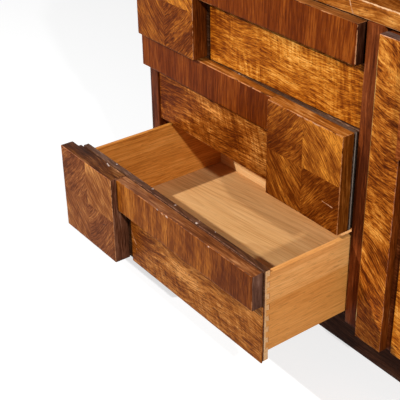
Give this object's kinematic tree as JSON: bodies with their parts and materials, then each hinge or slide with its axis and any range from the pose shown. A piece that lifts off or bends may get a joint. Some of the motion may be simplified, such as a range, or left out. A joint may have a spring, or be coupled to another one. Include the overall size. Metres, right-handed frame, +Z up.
{
  "type": "lowboy",
  "caption": "Long block-front walnut lowboy with banks of dovetailed drawers beside hinged doors; the lower left drawer stands open.",
  "frame": {"origin": "on the floor, at the middle of the underside of the plinth's front board", "axes": "+X to the right along the front, +Y from the front into the case, +Z up"},
  "size_m": [1.942, 0.6669, 0.736],
  "materials": {
    "stained_walnut": "dark stained walnut, satin lacquer",
    "red_walnut": "red-brown walnut, satin lacquer",
    "figured_walnut": "golden figured walnut veneer, satin lacquer",
    "parquet_walnut": "walnut parquet veneer, satin lacquer",
    "plinth_stain": "very dark stain, satin",
    "oak": "thin clear finish",
    "pale_ash": "thin clear finish",
    "hardboard": "raw hardboard",
    "brass": "dulled brass"
  },
  "bodies": {
    "case": {"top_board": "figured_walnut", "left_side": "stained_walnut", "right_side": "stained_walnut", "left_partition": "stained_walnut", "right_partition": "stained_walnut", "bottom_board": "oak", "back_panel": "hardboard", "plinth": "plinth_stain", "left_dust_board_lower": "oak", "left_dust_board_upper": "oak", "right_dust_board_lower": "oak", "right_dust_board_upper": "oak", "left_door_hinge": "brass", "right_door_hinge": "brass"},
    "left_drawer_lower": {"left_drawer_lower_front_board": "stained_walnut", "left_drawer_lower_block": "parquet_walnut", "left_drawer_lower_slab": "red_walnut", "left_drawer_lower_panel": "figured_walnut", "left_drawer_lower_outer_side": "oak", "left_drawer_lower_inner_side": "oak", "left_drawer_lower_back": "pale_ash", "left_drawer_lower_bottom": "pale_ash"},
    "left_drawer_middle": {"left_drawer_middle_front_board": "stained_walnut", "left_drawer_middle_block": "parquet_walnut", "left_drawer_middle_slab": "red_walnut", "left_drawer_middle_panel": "figured_walnut", "left_drawer_middle_box_frame": "oak", "left_drawer_middle_bottom": "pale_ash"},
    "left_drawer_upper": {"left_drawer_upper_front_board": "stained_walnut", "left_drawer_upper_block": "parquet_walnut", "left_drawer_upper_slab": "red_walnut", "left_drawer_upper_panel": "figured_walnut", "left_drawer_upper_box_frame": "oak", "left_drawer_upper_bottom": "pale_ash"},
    "left_door": {"left_door_board": "stained_walnut", "left_door_slab": "figured_walnut", "left_door_block": "red_walnut", "left_door_panel": "figured_walnut"},
    "right_drawer_lower": {"right_drawer_lower_front_board": "stained_walnut", "right_drawer_lower_block": "parquet_walnut", "right_drawer_lower_slab": "red_walnut", "right_drawer_lower_panel": "figured_walnut", "right_drawer_lower_box_frame": "oak", "right_drawer_lower_bottom": "pale_ash"},
    "right_drawer_middle": {"right_drawer_middle_front_board": "stained_walnut", "right_drawer_middle_block": "parquet_walnut", "right_drawer_middle_slab": "red_walnut", "right_drawer_middle_panel": "figured_walnut", "right_drawer_middle_box_frame": "oak", "right_drawer_middle_bottom": "pale_ash"},
    "right_drawer_upper": {"right_drawer_upper_front_board": "stained_walnut", "right_drawer_upper_block": "parquet_walnut", "right_drawer_upper_slab": "red_walnut", "right_drawer_upper_panel": "figured_walnut", "right_drawer_upper_box_frame": "oak", "right_drawer_upper_bottom": "pale_ash"},
    "right_door": {"right_door_board": "stained_walnut", "right_door_slab": "figured_walnut", "right_door_block": "red_walnut", "right_door_panel": "figured_walnut"}
  },
  "joints": [
    {"name": "left_drawer_lower_slide", "type": "slide", "parent": "case", "child": "left_drawer_lower", "axis": [0, -1, 0], "range_m": [-0.21, 0.06]},
    {"name": "left_drawer_middle_slide", "type": "slide", "parent": "case", "child": "left_drawer_middle", "axis": [0, -1, 0], "range_m": [0, 0.27]},
    {"name": "left_drawer_upper_slide", "type": "slide", "parent": "case", "child": "left_drawer_upper", "axis": [0, -1, 0], "range_m": [0, 0.27]},
    {"name": "left_door_turn", "type": "hinge", "parent": "case", "child": "left_door", "pos_m": [-0.2956, -0.0667, 0.4], "axis": [0, 0, -1], "range_deg": [0, 90]},
    {"name": "right_drawer_lower_slide", "type": "slide", "parent": "case", "child": "right_drawer_lower", "axis": [0, -1, 0], "range_m": [0, 0.27]},
    {"name": "right_drawer_middle_slide", "type": "slide", "parent": "case", "child": "right_drawer_middle", "axis": [0, -1, 0], "range_m": [0, 0.27]},
    {"name": "right_drawer_upper_slide", "type": "slide", "parent": "case", "child": "right_drawer_upper", "axis": [0, -1, 0], "range_m": [0, 0.27]},
    {"name": "right_door_turn", "type": "hinge", "parent": "case", "child": "right_door", "pos_m": [0.2956, -0.0667, 0.4], "axis": [0, 0, 1], "range_deg": [0, 90]}
  ]
}
